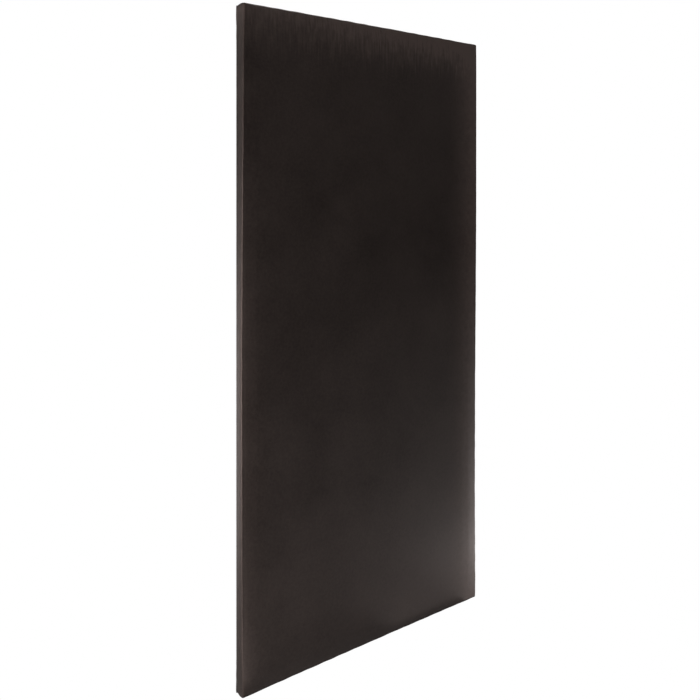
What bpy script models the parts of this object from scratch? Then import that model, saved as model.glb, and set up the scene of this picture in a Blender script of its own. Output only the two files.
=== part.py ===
"""Upholstered wall punch pad that hangs on interlocking Z rails.

Metres, +Z up. The wall is the plane y = 0 and the pad faces -Y, with +X to the
right seen from the front. "Depth" is the distance out from the wall, so a
point's y is minus its depth. The origin is the centre of the middle wall rail's
back face, which is also the middle of the pad in X and Z.
"""

import math

import bmesh
import bpy

# Pad
PAD_WIDTH = 1.000
PAD_HEIGHT = 2.000
PAD_THICKNESS = 0.040
PAD_BACK = 0.008  # depth of the hem's back face
CORNER_RADIUS = 0.008  # the pad's four corners, seen from the front
CLEARANCE = 0.0003  # between neighbouring pieces

# Cover, pulled tight over the foam and turned on to the back of the board
COVER_THICKNESS = 0.0008
HEM_WIDTH = 0.050
HEM_CORNER_RADIUS = 0.004
EDGE_RADIUS = 0.005  # front edge
CROWN_WIDTH = 0.070  # band along each edge that falls away towards it
MIDDLE_DROP = 0.009  # fall at the middle of a side
CORNER_DROP = 0.0005  # fall at a corner, where the folds hold the cover out
CROWN_SPREAD = 0.4  # growth of the corner radius across the crowned band

# Board
BOARD_THICKNESS = 0.009
VENT_RADIUS = 0.008
VENT_X = 0.240
VENT_ROWS = (-0.375, 0.375)

# Foam
FACE_FOAM_THICKNESS = 0.010
FOAM_DROP_SHARE = 0.6  # how much of the crown's fall the core foam takes

# Z rails, the same section on the wall and, turned over, on the pad
RAIL_LENGTH = 0.840
RAIL_GAUGE = 0.002
RAIL_FLANGE = 0.022
RAIL_LIP = 0.012
RAIL_REACH = 0.0066  # wall to the lip's front face
RAIL_CHAMFER = 0.0005
RAIL_ROWS = {"bottom": -0.750, "middle": 0.0, "top": 0.750}
SCREW_COLUMNS = (-0.360, -0.120, 0.120, 0.360)
WALL_HOLE_RADIUS = 0.00275
CLEAT_HOLE_RADIUS = 0.0033

# M6 button-head screws and tee nuts
SCREW_RADIUS = 0.003
SCREW_LENGTH = 0.010
SCREW_POINT = 0.00075  # chamfer at the screw's end
HEAD_RADIUS = 0.00525
HEAD_HEIGHT = 0.0033
HEAD_TOP_RADIUS = 0.0029
HEAD_RIM = 0.0005  # straight part of the head's side
SOCKET_ACROSS_FLATS = 0.004
SOCKET_DEPTH = 0.002
NUT_BORE_RADIUS = SCREW_RADIUS + CLEARANCE
NUT_BARREL_RADIUS = 0.0039
NUT_BARREL_LENGTH = 0.0065
NUT_FLANGE_RADIUS = 0.0095
NUT_FLANGE_THICKNESS = 0.0013
PRONG_INNER_RADIUS = 0.0076
PRONG_LENGTH = 0.0045
PRONG_TAPER = 0.6

# How finely round shapes are divided
LONG_DIVISIONS = 8
SHORT_DIVISIONS = 4
CORNER_DIVISIONS = 2
BEND_DIVISIONS = 2
CROWN_DIVISIONS = 4
TURNED_DIVISIONS = 12
DOME_DIVISIONS = 3
SMOOTH_BELOW = 40  # degrees between faces that are shaded as one surface

# Worked out from the sizes above
HALF_WIDTH = PAD_WIDTH / 2
HALF_HEIGHT = PAD_HEIGHT / 2
PAD_FRONT = PAD_BACK + PAD_THICKNESS
SKIN = COVER_THICKNESS + CLEARANCE  # outer face of the cover to what it holds
BOARD_BACK = PAD_BACK + SKIN
BOARD_FRONT = BOARD_BACK + BOARD_THICKNESS
FOAM_JOINT = PAD_FRONT - SKIN - FACE_FOAM_THICKNESS - CLEARANCE
CLEAT_FACE = BOARD_BACK - CLEARANCE  # depth of a cleat's face against the board
CLEAT_SEAT = CLEAT_FACE - RAIL_GAUGE  # depth of its face towards the wall
LIP_TOP = RAIL_FLANGE / 2 + RAIL_GAUGE / 2 + RAIL_LIP
FLANGE_MIDDLE = -RAIL_GAUGE / 2  # height of a flange's middle over its rail's centre
CLEAT_TURN = 2 * LIP_TOP - RAIL_LIP + CLEARANCE  # a cleat's height is this less a wall rail's
NUT_SEAT_DEPTH = NUT_FLANGE_THICKNESS + 2 * CLEARANCE


def remove_everything():
    for thing in list(bpy.data.objects):
        bpy.data.objects.remove(thing, do_unlink=True)


# ---------------------------------------------------------------- shape rules


def edge_drop(share):
    """Fall of the front at an edge, by the share of the way from its middle to a corner."""
    return CORNER_DROP + (MIDDLE_DROP - CORNER_DROP) * (1.0 - min(share, 1.0) ** 2)


def crown_band(distance):
    """How much of the edge's fall is left at a distance in from the edge."""
    return max(0.0, 1.0 - max(distance, EDGE_RADIUS) / CROWN_WIDTH) ** 2


def crown_drop(x, z):
    """How far the front falls below its flat middle at a point."""
    beside = crown_band(HALF_WIDTH - abs(x)) * edge_drop(abs(z) / HALF_HEIGHT)
    above = crown_band(HALF_HEIGHT - abs(z)) * edge_drop(abs(x) / HALF_WIDTH)
    return beside + above


def edge_start(x, z):
    """Depth at which the straight side meets the front edge's radius."""
    return PAD_FRONT - crown_drop(x, z) - EDGE_RADIUS


def foam_joint(x, z):
    """Depth of the core foam's front face."""
    return FOAM_JOINT - FOAM_DROP_SHARE * crown_drop(x, z)


def front_face(x, z):
    """Depth of the cover's front."""
    return PAD_FRONT - crown_drop(x, z)


def raised(rule, by):
    return lambda x, z: rule(x, z) + by


# ---------------------------------------------------------------------- rings


def radius_at(inset):
    """Corner radius of a ring that lies a distance in from the pad's outline."""
    if inset <= EDGE_RADIUS:
        return CORNER_RADIUS - inset
    return CORNER_RADIUS - EDGE_RADIUS + CROWN_SPREAD * (inset - EDGE_RADIUS)


def outline(inset, radius):
    """A rounded rectangle of (x, z) points, from the bottom right corner round by the top."""
    corners = ((1, -1), (1, 1), (-1, 1), (-1, -1))
    divisions = (LONG_DIVISIONS, SHORT_DIVISIONS) * 2
    arcs = []
    for turn, (right, up) in enumerate(corners):
        middle_x = right * (HALF_WIDTH - inset - radius)
        middle_z = up * (HALF_HEIGHT - inset - radius)
        arc = []
        for step in range(CORNER_DIVISIONS + 1):
            angle = math.radians(90) * (turn - 1 + step / CORNER_DIVISIONS)
            arc.append((middle_x + radius * math.cos(angle), middle_z + radius * math.sin(angle)))
        arcs.append(arc)
    points = []
    for turn, arc in enumerate(arcs):
        points.extend(arc)
        start = arc[-1]
        end = arcs[(turn + 1) % 4][0]
        for step in range(1, divisions[turn]):
            share = step / divisions[turn]
            points.append(tuple(a + share * (b - a) for a, b in zip(start, end)))
    return points


def pad_ring(inset, depth, radius=None):
    """One loop round the pad, at a depth given as a number or as a rule of (x, z)."""
    ring = []
    for x, z in outline(inset, radius_at(inset) if radius is None else radius):
        ring.append((x, -(depth(x, z) if callable(depth) else depth), z))
    return ring


def back_bend_rings(offset):
    """The bend between the hem and the side, at an offset inside the cover's outer face."""
    rings = []
    for step in range(BEND_DIVISIONS + 1):
        angle = math.radians(90) * step / BEND_DIVISIONS
        inset = SKIN - (SKIN - offset) * math.sin(angle)
        depth = BOARD_BACK - (SKIN - offset) * math.cos(angle)
        rings.append(pad_ring(inset, depth))
    return rings


def front_edge_rings(offset):
    """The rounded front edge, from the straight side round to the crowned band."""
    rings = []
    reach = EDGE_RADIUS - offset
    for step in range(BEND_DIVISIONS + 1):
        angle = math.radians(90) * step / BEND_DIVISIONS
        inset = EDGE_RADIUS - reach * math.cos(angle)
        rings.append(pad_ring(inset, raised(edge_start, reach * math.sin(angle))))
    return rings


def crown_rings(depth):
    """Rings across the crowned band, from the front edge in to the flat middle."""
    rings = []
    for step in range(1, CROWN_DIVISIONS + 1):
        inset = EDGE_RADIUS + (CROWN_WIDTH - EDGE_RADIUS) * step / CROWN_DIVISIONS
        rings.append(pad_ring(inset, depth))
    return rings


def cover_rings(offset):
    """The cover's skin from the hem's bend to the middle of the front."""
    rings = back_bend_rings(offset)
    rings.append(pad_ring(offset, BOARD_FRONT))
    rings.extend(front_edge_rings(offset))
    rings.extend(crown_rings(raised(front_face, -offset)))
    return rings


# --------------------------------------------------------------------- meshes


def material(name, colour, roughness, metallic=0.0):
    made = bpy.data.materials.new(name)
    made.use_nodes = True
    shader = made.node_tree.nodes["Principled BSDF"]
    shader.inputs["Base Color"].default_value = (*colour, 1.0)
    shader.inputs["Roughness"].default_value = roughness
    shader.inputs["Metallic"].default_value = metallic
    made.diffuse_color = (*colour, 1.0)
    return made


def empty(name):
    made = bpy.data.objects.new(name, None)
    bpy.context.scene.collection.objects.link(made)
    return made


def placed(name, mesh, parent, location=(0.0, 0.0, 0.0)):
    made = bpy.data.objects.new(name, mesh)
    bpy.context.scene.collection.objects.link(made)
    made.parent = parent
    made.location = location
    return made


def join_rings(solid, rings, ends_meet=False):
    """Faces between rings of equal count, closed by caps or, for a tube, on to themselves."""
    rows = [[solid.verts.new(point) for point in ring] for ring in rings]
    pairs = list(zip(rows, rows[1:]))
    if ends_meet:
        pairs.append((rows[-1], rows[0]))
    else:
        solid.faces.new(rows[0])
        solid.faces.new(rows[-1])
    bands = []
    for near, far in pairs:
        band = []
        for i in range(len(near)):
            j = (i + 1) % len(near)
            band.append(solid.faces.new((near[i], near[j], far[j], far[i])))
        bands.append(band)
    return bands


def finished(name, solid, look=None):
    """Turn a bmesh into a mesh with outward faces, smooth where they meet gently."""
    bmesh.ops.recalc_face_normals(solid, faces=solid.faces)
    mesh = bpy.data.meshes.new(name)
    solid.to_mesh(mesh)
    solid.free()
    if look:
        mesh.materials.append(look)
    mesh.shade_smooth()
    mesh.set_sharp_from_angle(angle=math.radians(SMOOTH_BELOW))
    return mesh


def crease_outwards(solid):
    """Split bent quads along the diagonal further from the wall, so that neighbours nest."""
    for face in [face for face in solid.faces if len(face.verts) == 4]:
        a, b, c, d = face.verts
        if a.co.y + c.co.y < b.co.y + d.co.y:
            bmesh.utils.face_split(face, a, c)
        else:
            bmesh.utils.face_split(face, b, d)


def ringed_mesh(name, rings, look):
    solid = bmesh.new()
    join_rings(solid, rings)
    return finished(name, solid, look)


def pad_mesh(name, rings, look):
    """A layer of the pad, whose surfaces nest with its neighbours' at the clearance."""
    solid = bmesh.new()
    join_rings(solid, rings)
    crease_outwards(solid)
    return finished(name, solid, look)


def turned_ring(radius, y):
    """A circle round a part's own Y axis."""
    ring = []
    for step in range(TURNED_DIVISIONS):
        angle = math.radians(360) * step / TURNED_DIVISIONS
        ring.append((radius * math.cos(angle), y, radius * math.sin(angle)))
    return ring


def hexagon_ring(across_flats, y):
    """A hexagon with points at its corners and at the middles of its sides."""
    ring = []
    for step in range(TURNED_DIVISIONS):
        angle = math.radians(360) * step / TURNED_DIVISIONS
        radius = across_flats / 2
        if step % 2 == 0:
            radius /= math.cos(math.radians(30))
        ring.append((radius * math.cos(angle), y, radius * math.sin(angle)))
    return ring


def cutter(name, mesh, parent):
    made = placed(name, mesh, parent)
    made.hide_render = True
    made.display_type = "WIRE"
    return made


def cut(target, tool):
    change = target.modifiers.new("cut " + tool.name, "BOOLEAN")
    change.operation = "DIFFERENCE"
    change.solver = "EXACT"
    change.object = tool


def drill_mesh(name, places, radius, near, far):
    """Straight drills along Y at (x, z) places, between two depths."""
    solid = bmesh.new()
    for x, z in places:
        rings = []
        for depth in (near, far):
            rings.append([(x + px, py, z + pz) for px, py, pz in turned_ring(radius, -depth)])
        join_rings(solid, rings)
    return finished(name, solid)


# ------------------------------------------------------------------ materials


def vinyl():
    return material("black_vinyl", (0.016, 0.0135, 0.012), 0.5)


def soft_foam():
    return material("soft_foam", (0.42, 0.42, 0.40), 0.9)


def firm_foam():
    return material("firm_foam", (0.10, 0.14, 0.20), 0.95)


def plywood():
    return material("plywood", (0.56, 0.40, 0.23), 0.7)


def aluminium(name):
    return material(name, (0.78, 0.79, 0.80), 0.35, 1.0)


def zinc_plate(name):
    return material(name, (0.68, 0.69, 0.71), 0.3, 1.0)


# ------------------------------------------------------------------ sub-parts


def build_cover(parent):
    """A tray of thin sheet, open at the back inside the hem."""
    hem = []
    for depth in (PAD_BACK + COVER_THICKNESS, PAD_BACK):
        hem.append(pad_ring(HEM_WIDTH, depth, radius=HEM_CORNER_RADIUS))
    rings = cover_rings(COVER_THICKNESS)[::-1] + hem + cover_rings(0.0)
    placed("cover", pad_mesh("cover", rings, vinyl()), parent)


def build_face_foam(parent):
    """Softer foam between the core foam and the cover, thinner where the cover pulls it down."""
    back = raised(foam_joint, CLEARANCE)
    rings = crown_rings(back)[::-1]
    rings.append(pad_ring(SKIN, back))
    rings.extend(front_edge_rings(SKIN))
    rings.extend(crown_rings(raised(front_face, -SKIN)))
    placed("face_foam", pad_mesh("face_foam", rings, soft_foam()), parent)


def build_core_foam(parent):
    """Firmer foam on the board, its front following part of the crown."""
    rings = [pad_ring(SKIN, BOARD_FRONT + CLEARANCE), pad_ring(SKIN, foam_joint)]
    rings.extend(crown_rings(foam_joint))
    placed("core_foam", pad_mesh("core_foam", rings, firm_foam()), parent)


def screw_places():
    """(row_column, x, z) of every cleat screw; columns are lettered from the left."""
    for row, height in RAIL_ROWS.items():
        for letter, x in zip("abcd", SCREW_COLUMNS):
            yield f"{row}_{letter}", x, height + CLEAT_TURN - FLANGE_MIDDLE


def build_board(parent):
    """Plywood with sunk seats for the tee nuts and holes that let the foam breathe."""
    rings = [pad_ring(SKIN, BOARD_BACK), pad_ring(SKIN, BOARD_FRONT)]
    board = placed("backer_board", ringed_mesh("backer_board", rings, plywood()), parent)
    through = (BOARD_BACK - BOARD_THICKNESS, BOARD_FRONT + BOARD_THICKNESS)
    vents = [(side * VENT_X, z) for side in (-1, 0, 1) for z in VENT_ROWS]
    cut(board, cutter("vent_drill", drill_mesh("vent_drill", vents, VENT_RADIUS, *through), parent))
    seat_mesh = nut_seat_mesh()
    for name, x, z in screw_places():
        seat = cutter("nut_seat_" + name, seat_mesh, parent)
        seat.location = (x, -BOARD_FRONT, z)
        cut(board, seat)


def rail_profile():
    """The Z section as (depth, height) with its back face centred on height 0."""
    flange_top = RAIL_FLANGE / 2 - RAIL_GAUGE / 2
    foot = -RAIL_FLANGE / 2 - RAIL_GAUGE / 2
    web_top = flange_top + RAIL_GAUGE
    return (
        (0.0, foot),
        (RAIL_GAUGE, foot),
        (RAIL_GAUGE, flange_top),
        (RAIL_REACH, flange_top),
        (RAIL_REACH, LIP_TOP - RAIL_CHAMFER),
        (RAIL_REACH - RAIL_CHAMFER, LIP_TOP),
        (RAIL_REACH - RAIL_GAUGE + RAIL_CHAMFER, LIP_TOP),
        (RAIL_REACH - RAIL_GAUGE, LIP_TOP - RAIL_CHAMFER),
        (RAIL_REACH - RAIL_GAUGE, web_top),
        (0.0, web_top),
    )


def rail_mesh(name, look, turned_over):
    rings = []
    for x in (-RAIL_LENGTH / 2, RAIL_LENGTH / 2):
        if turned_over:
            ring = [(x, depth - CLEAT_FACE, CLEAT_TURN - z) for depth, z in rail_profile()]
        else:
            ring = [(x, -depth, z) for depth, z in rail_profile()]
        rings.append(ring)
    return ringed_mesh(name, rings, look)


def build_wall_rails(parent):
    mesh = rail_mesh("wall_rail", aluminium("wall_rail"), turned_over=False)
    holes = [(x, FLANGE_MIDDLE) for x in SCREW_COLUMNS]
    drill = drill_mesh("wall_drill", holes, WALL_HOLE_RADIUS, -RAIL_GAUGE, 2 * RAIL_GAUGE)
    for row, height in RAIL_ROWS.items():
        rail = placed("wall_rail_" + row, mesh, parent, (0.0, 0.0, height))
        tool = cutter("wall_drill_" + row, drill, parent)
        tool.location.z = height
        cut(rail, tool)


def build_cleats(parent):
    mesh = rail_mesh("panel_cleat", aluminium("panel_cleat"), turned_over=True)
    holes = [(x, CLEAT_TURN - FLANGE_MIDDLE) for x in SCREW_COLUMNS]
    reach = (CLEAT_SEAT - RAIL_GAUGE, CLEAT_FACE + RAIL_GAUGE)
    drill = drill_mesh("cleat_drill", holes, CLEAT_HOLE_RADIUS, *reach)
    for row, height in RAIL_ROWS.items():
        cleat = placed("panel_cleat_" + row, mesh, parent, (0.0, 0.0, height))
        tool = cutter("cleat_drill_" + row, drill, parent)
        tool.location.z = height
        cut(cleat, tool)


def screw_mesh():
    """A button-head screw with a hexagon socket; y = 0 is under its head, which faces +Y."""
    rings = [
        hexagon_ring(SOCKET_ACROSS_FLATS, HEAD_HEIGHT - SOCKET_DEPTH),
        hexagon_ring(SOCKET_ACROSS_FLATS, HEAD_HEIGHT),
    ]
    for step in range(DOME_DIVISIONS + 1):
        angle = math.radians(90) * step / DOME_DIVISIONS
        radius = HEAD_TOP_RADIUS + (HEAD_RADIUS - HEAD_TOP_RADIUS) * math.sin(angle)
        rings.append(turned_ring(radius, HEAD_RIM + (HEAD_HEIGHT - HEAD_RIM) * math.cos(angle)))
    rings.append(turned_ring(HEAD_RADIUS, 0.0))
    rings.append(turned_ring(SCREW_RADIUS, 0.0))
    rings.append(turned_ring(SCREW_RADIUS, SCREW_POINT - SCREW_LENGTH))
    rings.append(turned_ring(SCREW_RADIUS - SCREW_POINT, -SCREW_LENGTH))
    return ringed_mesh("cleat_screw", rings, zinc_plate("zinc_screw"))


def build_screws(parent):
    mesh = screw_mesh()
    for name, x, z in screw_places():
        placed("cleat_screw_" + name, mesh, parent, (x, CLEARANCE - CLEAT_SEAT, z))


def add_prongs(solid, underside, gap, taper):
    """Four prongs along +Y from every third face of a flange's underside."""
    roots = underside[:: TURNED_DIVISIONS // 4]
    if gap:
        bmesh.ops.inset_individual(solid, faces=roots, thickness=gap)
    tips = bmesh.ops.extrude_discrete_faces(solid, faces=roots)["faces"]
    for tip in tips:
        middle = tip.calc_center_median()
        for corner in tip.verts:
            corner.co = middle + (corner.co - middle) * taper
            corner.co.y += PRONG_LENGTH


def nut_mesh():
    """A pronged tee nut; y = 0 is its flange's front and its barrel runs along +Y."""
    end = NUT_FLANGE_THICKNESS + NUT_BARREL_LENGTH
    profile = (
        (NUT_BORE_RADIUS, 0.0),
        (NUT_FLANGE_RADIUS, 0.0),
        (NUT_FLANGE_RADIUS, NUT_FLANGE_THICKNESS),
        (PRONG_INNER_RADIUS, NUT_FLANGE_THICKNESS),
        (NUT_BARREL_RADIUS, NUT_FLANGE_THICKNESS),
        (NUT_BARREL_RADIUS, end),
        (NUT_BORE_RADIUS, end),
    )
    solid = bmesh.new()
    bands = join_rings(solid, [turned_ring(*point) for point in profile], ends_meet=True)
    add_prongs(solid, bands[2], CLEARANCE, PRONG_TAPER)
    return finished("tee_nut", solid, zinc_plate("zinc_nut"))


def nut_seat_mesh():
    """What is cut from the board for a nut; y = 0 is the board's front."""
    profile = (
        (NUT_FLANGE_RADIUS + CLEARANCE, -BOARD_THICKNESS),
        (NUT_FLANGE_RADIUS + CLEARANCE, NUT_SEAT_DEPTH),
        (PRONG_INNER_RADIUS, NUT_SEAT_DEPTH),
        (NUT_BARREL_RADIUS + CLEARANCE, NUT_SEAT_DEPTH),
        (NUT_BARREL_RADIUS + CLEARANCE, 2 * BOARD_THICKNESS),
    )
    solid = bmesh.new()
    bands = join_rings(solid, [turned_ring(*point) for point in profile])
    add_prongs(solid, bands[1], 0.0, 1.0)
    return finished("nut_seat", solid)


def build_nuts(parent):
    mesh = nut_mesh()
    for name, x, z in screw_places():
        placed("tee_nut_" + name, mesh, parent, (x, CLEARANCE - BOARD_FRONT, z))


def main():
    remove_everything()
    wall = empty("wall_fixings")
    build_wall_rails(wall)
    pad = empty("pad_lift")  # the pad slides up along its Z to unhook
    build_cover(pad)
    build_face_foam(pad)
    build_core_foam(pad)
    build_board(pad)
    build_cleats(pad)
    build_screws(pad)
    build_nuts(pad)


main()
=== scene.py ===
"""Looks of the wall punch pad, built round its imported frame.

Metres, in the frame's own axes: the wall is y = 0, the pad faces -Y and +Z is up.
"Depth" is the distance out from the wall, so a point's y is minus its depth.
"""

import math
import random

import bpy
import numpy as np
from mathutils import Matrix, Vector
from mathutils.bvhtree import BVHTree


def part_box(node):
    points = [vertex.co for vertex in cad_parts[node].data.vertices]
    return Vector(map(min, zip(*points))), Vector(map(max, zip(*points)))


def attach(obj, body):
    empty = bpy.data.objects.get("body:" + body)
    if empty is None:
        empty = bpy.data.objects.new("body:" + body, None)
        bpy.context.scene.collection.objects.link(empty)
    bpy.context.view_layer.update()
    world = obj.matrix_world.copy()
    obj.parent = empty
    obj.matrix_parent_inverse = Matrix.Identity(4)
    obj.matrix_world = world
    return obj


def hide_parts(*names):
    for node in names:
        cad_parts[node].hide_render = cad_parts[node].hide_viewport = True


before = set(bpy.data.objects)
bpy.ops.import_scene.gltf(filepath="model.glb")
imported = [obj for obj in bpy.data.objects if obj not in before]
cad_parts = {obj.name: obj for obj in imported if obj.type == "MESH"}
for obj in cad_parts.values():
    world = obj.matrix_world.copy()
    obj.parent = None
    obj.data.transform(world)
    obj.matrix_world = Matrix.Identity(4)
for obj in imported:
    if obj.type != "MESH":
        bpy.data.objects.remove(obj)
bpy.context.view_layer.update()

# ------------------------------------------------------------ sizes from the frame

PAD_LOW, PAD_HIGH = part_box("cover")
BOARD_LOW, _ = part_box("backer_board")
CORE_LOW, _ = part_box("core_foam")
HALF_WIDTH = (PAD_HIGH.x - PAD_LOW.x) / 2
HALF_HEIGHT = (PAD_HIGH.z - PAD_LOW.z) / 2
PAD_FRONT = -PAD_LOW.y
PAD_BACK = -PAD_HIGH.y
BOARD_FRONT = -BOARD_LOW.y
FOAM_JOINT = -CORE_LOW.y

# ------------------------------------------------------------------- chosen values

# The cover
VINYL = 0.0008  # thickness
HEM_WIDTH = 0.050
BACK_CORNER, FRONT_CORNER = 0.009, 0.003  # corner radii seen from the front
BEND_RADIUS = 0.0014  # round the board's back edge
EDGE_RADIUS = 0.0042  # front edge
CROWN_WIDTH = 0.085  # band along each edge that falls away towards it
WRAP = 0.0012  # the long sides stand this far outside the cut size
WRAP_END = 20  # the higher, the nearer to its corners a side keeps this
TOP_BOW, BOTTOM_BOW = 0.0018, -0.0016  # how far the front edge bows out at mid-side
SIDE_BULGE = 0.0007
LINING_GAP, LINING_FRONT_GAP = 0.0002, 0.0001  # kept clear between cover and lining

# How far the front edge falls behind the flat middle: (share along the side, fall)
LEFT_FALL = ((-1.0, 0.0050), (-0.93, 0.0060), (-0.86, 0.0088), (-0.6, 0.0104))
LEFT_FALL += ((-0.2, 0.0118), (0.0, 0.0122), (0.2, 0.0100), (0.4, 0.0082))
LEFT_FALL += ((0.6, 0.0050), (0.9, 0.0026), (1.0, 0.0005))
RIGHT_FALL = ((-1.0, 0.0055), (-0.9, 0.0070), (-0.6, 0.0090), (-0.2, 0.0070), (0.1, 0.0036))
RIGHT_FALL += ((0.4, 0.0010), (0.8, 0.0006), (1.0, 0.0003))
TOP_FALL = ((-1.0, 0.0008), (-0.9, 0.0030), (0.0, 0.0050), (0.8, 0.0035), (1.0, 0.0006))
BOTTOM_FALL = ((-1.0, 0.0065), (-0.8, 0.0070), (0.0, 0.0070), (0.9, 0.0065), (1.0, 0.0060))
FALL_ROUNDING = 0.04

# The nets of the meshes
SKIN_NET = (136, 260)  # stations along a short and a long side
FOAM_NET = (56, 110)
CORNER_GAP, MIDDLE_GAP, GAP_GROWTH = 0.002, 0.008, 0.12  # spacing of the stations
HEM_RINGS, BEND_RINGS, SIDE_RINGS, EDGE_RINGS, CROWN_RINGS = 10, 5, 8, 6, 13
LINING_SIDE_RINGS, LINING_EDGE_RINGS, LINING_CROWN_RINGS = 4, 3, 5

# Unevenness of hand-pulled vinyl: (height, shortest and longest wave)
SIDE_WAVES = (0.0005, 0.05, 0.22)
SIDE_LEAN = 0.35  # how far the side's waves lean as they run to the front
SIDE_SLACK = 0.0009  # the furthest a side stands out from the board
HEM_WAVES = (0.0012, 0.04, 0.15)
CUT_FADE = 4.0  # rings from the cut edge of the hem to where its waves have died out
FACE_WAVES = (0.00012, 0.14, 0.45)

# Cloth
CLOTH_FRAMES = 20
CLOTH_PRESSURE = 4.0
CLOTH_SHARE = 0.3  # how much of the simulated puff the pad keeps
CLOTH_CAP = 0.0005  # the furthest that a point may move
PIN_START = 0.04  # the face is pinned harder and harder from here in to the flat middle

# Corner folds and staples
FOLD_LIFT = 0.0009
FOLD_RUN = 0.028  # how far from the corner the fold on a short side starts at the back
MITRE_RUN = 0.090  # the folds lift the hem over this length beside a corner
PLEAT_LENGTH = 0.160
PLEAT_WIDTH = (0.040, 0.016)  # at its start and at its end
PLEAT_THICKNESS = 0.0030
PLEAT_STEPS = 26
PLEAT_WAVES = (0.0004, 0.03, 0.09)
SEAT = 0.0002  # how deep a pleat sits in the hem
STAPLE_PITCH = 0.045
STAPLE_END = 0.055
STAPLE_INSET = 0.026
STAPLE_CROWN = 0.0105
STAPLE_LEG = 0.0022
STAPLE_BEND = 0.0009
STAPLE_WIRE = (0.0012, 0.0006)
PUCKER = 0.0006  # how far the hem rises between two staples
PUCKER_START = 0.020  # it reaches its height this far in from the edge
PUCKER_EASE = 0.04  # and loses this share with each ring towards the edge

# Foams
FOAM_ROUND = 0.003  # radius of a slab's cut edges
FOAM_CORNER = 0.006
FOAM_BACK_RING = 0.040  # inset of the ring between a slab's back edge and its middle
FOAM_CROWN_SHARES = (0.12, 0.3, 0.5, 0.75, 1.0)  # rings from the front edge to the middle
FOAM_NICKS = (0.02, 0.12)  # shortest and longest wave of the ragged cut
CORE_INSET, FACE_INSET = 0.0024, 0.0026
CORE_NICK, FACE_NICK = 0.0004, 0.0003
JOINT_SHARE = 0.6  # the glue joint follows this share of the crown
BOARD_CLEARANCE, FACE_CLEARANCE = 0.0003, 0.0004  # to the board and to the cover
CORE_CLEARANCE, SHEET_CLEARANCE = 0.0001, 0.0002  # either side of the glue joint

# The vinyl's painted sheen: paler colour in bands along the right and the top edge, painted in for
# the light that the crowned edges catch
PAINTED_SHEEN_COLOUR = (0.060, 0.044, 0.039)  # colour of the painted sheen where it is strongest
RIGHT_SHEEN_REACH, TOP_SHEEN_REACH = 0.17, 0.16
RIGHT_SHEEN_STRENGTH = 1.25
TOP_SHEEN_STRENGTH = (0.60, 1.55)  # at the left end and right of the middle
CREASE_LIFT = 0.045  # how far the fine creases under the top edge move the border of the painted sheen band

SEED = 7


# ------------------------------------------------------------------ small helpers


def smooth(t):
    t = np.clip(t, 0.0, 1.0)
    return t * t * (3 - 2 * t)


def waves(seed, shape):
    """A smooth uneven curve of one length: a few sines with seeded phases."""
    height, shortest, longest = shape
    chance = random.Random(seed)
    terms = []
    for _ in range(7):
        length = math.exp(chance.uniform(math.log(shortest), math.log(longest)))
        terms.append((2 * math.pi / length, chance.uniform(0, 2 * math.pi)))
    return lambda run: height * sum(np.sin(rate * run + start) for rate, start in terms) / 2


def surface_waves(seed, shape):
    """The same over a surface: sines that run in seeded directions."""
    height, shortest, longest = shape
    chance = random.Random(seed)
    terms = []
    for _ in range(9):
        rate = 2 * math.pi / math.exp(chance.uniform(math.log(shortest), math.log(longest)))
        way = chance.uniform(0, math.pi)
        terms.append((rate * math.cos(way), rate * math.sin(way), chance.uniform(0, 2 * math.pi)))
    return lambda x, z: height * sum(np.sin(a * x + b * z + c) for a, b, c in terms) / 2


def mesh_of(name, points, faces, looks, sharp=40.0, look_of=None):
    mesh = bpy.data.meshes.new(name)
    mesh.from_pydata(np.asarray(points, float).tolist(), [], faces)
    for look in looks:
        mesh.materials.append(look)
    if look_of is not None:
        mesh.polygons.foreach_set("material_index", look_of)
    mesh.shade_smooth()
    mesh.set_sharp_from_angle(angle=math.radians(sharp))
    mesh.update()
    return mesh


def add_piece(name, mesh, body, slot, *nodes):
    """Link a new piece, let it ride on its body, and let it stand for CAD nodes."""
    piece = bpy.data.objects.new(name, mesh)
    bpy.context.scene.collection.objects.link(piece)
    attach(piece, body)
    if nodes:
        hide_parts(*nodes)
    return piece


def loft(first, count, size, flip=False):
    """Quads between consecutive rings of `size` points, the first starting at point `first`."""
    faces = []
    for ring in range(count - 1):
        low = first + ring * size
        high = low + size
        for i in range(size):
            j = (i + 1) % size
            quad = (low + i, low + j, high + j, high + i)
            faces.append(quad[::-1] if flip else quad)
    return faces


# ---------------------------------------------------------------- shape of the pad


def fall_along(share, knots):
    """A fall rule at places along a side, with its knots rounded off."""
    places, falls = zip(*knots)
    steps = np.linspace(-FALL_ROUNDING, FALL_ROUNDING, 9)
    return sum(np.interp(share + step, places, falls) for step in steps) / len(steps)


def inset_of(points):
    """How far inside the cut outline each point lies, seen from the front."""
    return np.minimum(HALF_WIDTH - np.abs(points[:, 0]), HALF_HEIGHT - np.abs(points[:, 2]))


def crown_band(distance):
    return np.clip(1.0 - np.maximum(distance, EDGE_RADIUS) / CROWN_WIDTH, 0.0, None) ** 2


def crown_drop(x, z):
    """How far the front falls below its flat middle."""
    up, across = z / HALF_HEIGHT, x / HALF_WIDTH
    left = crown_band(HALF_WIDTH + x) * fall_along(up, LEFT_FALL)
    right = crown_band(HALF_WIDTH - x) * fall_along(up, RIGHT_FALL)
    top, bottom = crown_band(HALF_HEIGHT - z), crown_band(HALF_HEIGHT + z)
    top_fall, bottom_fall = fall_along(across, TOP_FALL), fall_along(across, BOTTOM_FALL)
    beside, share = left + right, crown_band(HALF_WIDTH - np.abs(x))
    return beside * (1 - top - bottom) + top * (top_fall * (1 - share) + beside) + bottom * (
        bottom_fall * (1 - share) + beside
    )


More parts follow.
